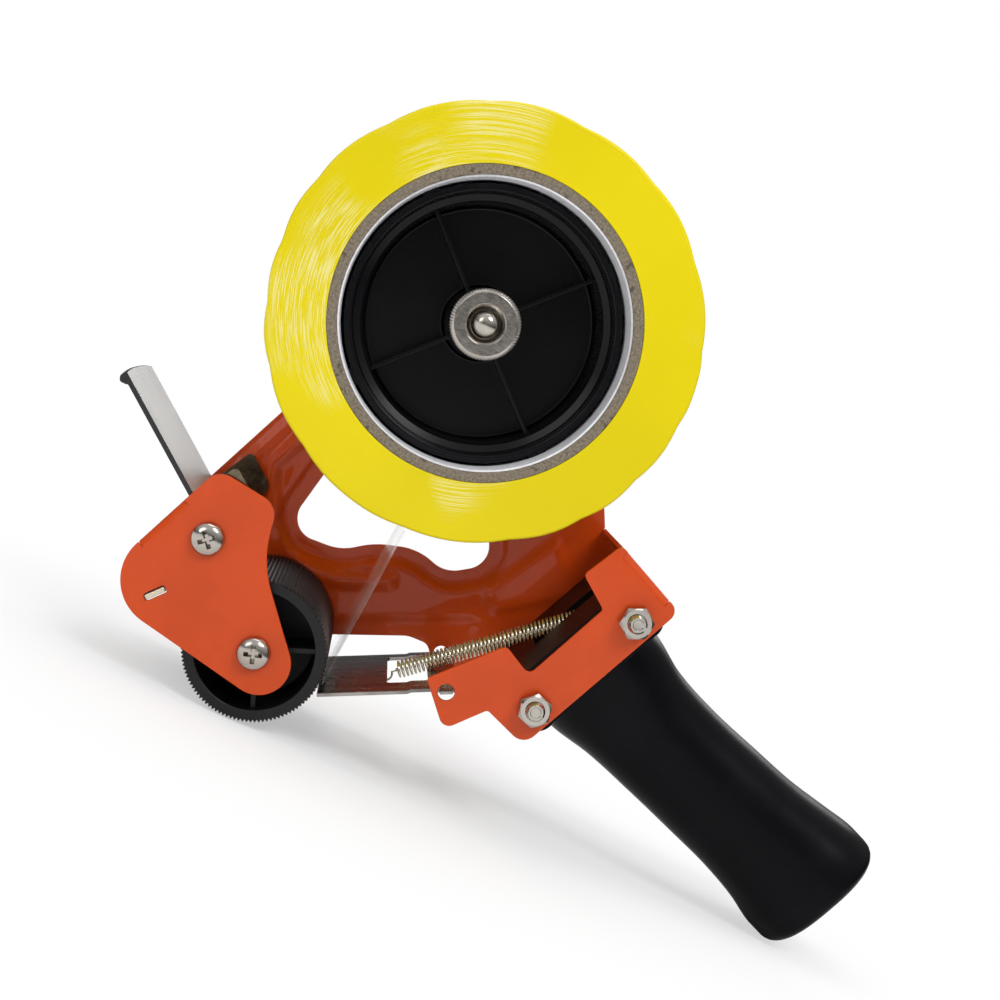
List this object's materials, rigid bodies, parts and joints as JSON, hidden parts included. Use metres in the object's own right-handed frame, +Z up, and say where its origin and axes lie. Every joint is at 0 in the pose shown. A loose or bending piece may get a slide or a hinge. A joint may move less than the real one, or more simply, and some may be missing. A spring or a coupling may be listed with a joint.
{
  "type": "tape dispenser",
  "caption": "Hand-held packing tape dispenser: folded steel frame with pistol grip, braked hub with a tape roll, toothed wheel, sprung tension plate, wiper flap and saw-toothed cutter.",
  "frame": {"origin": "centre of the bounding box's bottom face, on the surface that the wheel and the end of the grip stand on", "axes": "+X from the wiper towards the grip, +Y across the width towards the side plate, +Z up"},
  "size_m": [0.24, 0.0656, 0.1779],
  "materials": {
    "orange_paint": "glossy orange powder coat",
    "black_plastic": "satin moulded black plastic",
    "wiper_plastic": "smooth glossy black plastic sheet",
    "nickel_steel": "nickel-plated, bright",
    "zinc_steel": "zinc-plated, slightly yellow",
    "bare_steel": "cold-rolled, fine streaks",
    "spring_steel": "zinc-plated wire",
    "cardboard": "grey-brown pressed paper board, matt",
    "tape": "yellow wound film, glossy on the tread",
    "tape_film": "clear thin film"
  },
  "bodies": {
    "root": {"frame": "orange_paint", "handle_grip": "black_plastic", "handle_bolt_lower": "nickel_steel", "handle_bolt_upper": "nickel_steel", "handle_nut_lower": "nickel_steel", "handle_nut_upper": "nickel_steel", "hub_axle": "nickel_steel", "hub_axle_nut": "nickel_steel", "hub_washer": "nickel_steel", "brake_spring": "spring_steel", "wheel_axle": "nickel_steel", "wheel_screw_near": "nickel_steel", "wheel_screw_far": "nickel_steel", "wiper_spacer": "nickel_steel", "wiper_screw_near": "nickel_steel", "wiper_screw_far": "nickel_steel", "blade_carrier": "zinc_steel", "cutter_blade": "nickel_steel", "tape_end": "tape_film", "tension_spring": "spring_steel"},
    "hub": {"tape_hub": "black_plastic", "tape_core": "cardboard", "tape_winding": "tape"},
    "wheel": {"toothed_wheel": "black_plastic"},
    "plate": {"tension_plate": "bare_steel"},
    "wiper": {"wiper_carrier": "zinc_steel", "wiper_flap": "wiper_plastic", "wiper_rivet_1": "nickel_steel", "wiper_rivet_2": "nickel_steel", "wiper_rivet_3": "nickel_steel"},
    "brake_washer": {"brake_washer": "nickel_steel"},
    "brake_nut": {"brake_nut": "nickel_steel"}
  },
  "joints": [
    {"name": "hub_spin", "type": "hinge", "parent": "root", "child": "hub", "pos_m": [-0.04031, 0.0012, 0.1209], "axis": [0, 1, 0], "continuous": true},
    {"name": "wheel_spin", "type": "hinge", "parent": "root", "child": "wheel", "pos_m": [-0.05901, 0.0012, 0.0192], "axis": [0, 1, 0], "continuous": true},
    {"name": "plate_pivot", "type": "hinge", "parent": "root", "child": "plate", "pos_m": [-0.00951, 0.0012, 0.03041], "axis": [0, -1, 0], "range_deg": [0, 18], "stiffness_Nm_per_rad": 0.05, "springref_deg": -16.04, "deforming": ["tension_spring"]},
    {"name": "wiper_pivot", "type": "hinge", "parent": "root", "child": "wiper", "pos_m": [-0.08181, 0.0012, 0.04131], "axis": [0, 1, 0], "range_deg": [0, 35]},
    {"name": "washer_slide", "type": "slide", "parent": "root", "child": "brake_washer", "axis": [0, 1, 0], "range_m": [0, 0.0025], "deforming": ["brake_spring"]},
    {"name": "brake_nut_turn", "type": "hinge", "parent": "brake_washer", "child": "brake_nut", "pos_m": [-0.04031, 0.0012, 0.1209], "axis": [0, 1, 0], "range_deg": [0, 720]}
  ],
  "couplings": [
    {"joint": "brake_nut_turn", "follows": "washer_slide", "rad_per_m": 5026.5}
  ]
}
